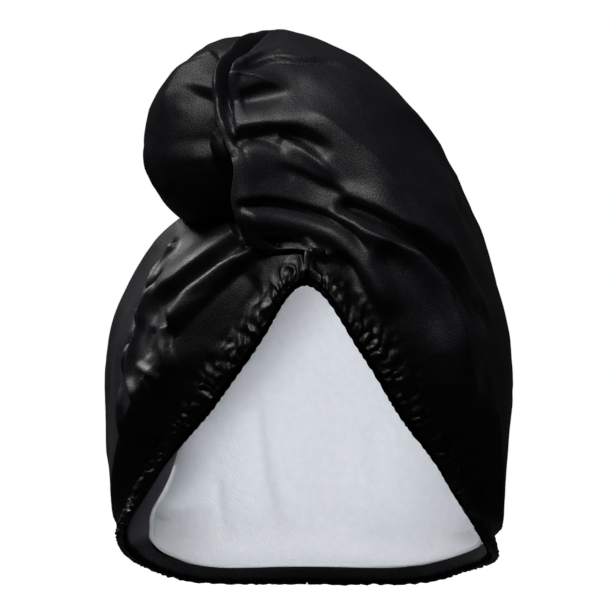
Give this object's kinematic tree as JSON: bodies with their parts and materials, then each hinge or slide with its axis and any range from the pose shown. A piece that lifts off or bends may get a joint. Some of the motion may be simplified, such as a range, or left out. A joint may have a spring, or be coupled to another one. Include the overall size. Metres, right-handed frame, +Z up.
{
  "type": "hair towel wrap",
  "caption": "Satin hair towel wrap shaped as worn: towelling-lined hood on a gathered elastic hem, with a twisted tail laid back over the crown and looped at the nape.",
  "frame": {"origin": "the point where the crown of the head bears on the lining, inside the top of the hood", "axes": "+Z up along the worn head, -Y out of the face opening, +X to the right seen from the front"},
  "size_m": [0.2034, 0.2448, 0.2835],
  "materials": {
    "satin": "black satin weave with a soft sheen",
    "hem": "black satin gathered over elastic",
    "towelling": "matt white microfibre towelling"
  },
  "bodies": {
    "root": {"right_panel": "satin", "left_panel": "satin", "twist_tail": "satin", "hem_band": "hem", "tail_loop": "hem", "lining": "towelling"}
  },
  "joints": []
}
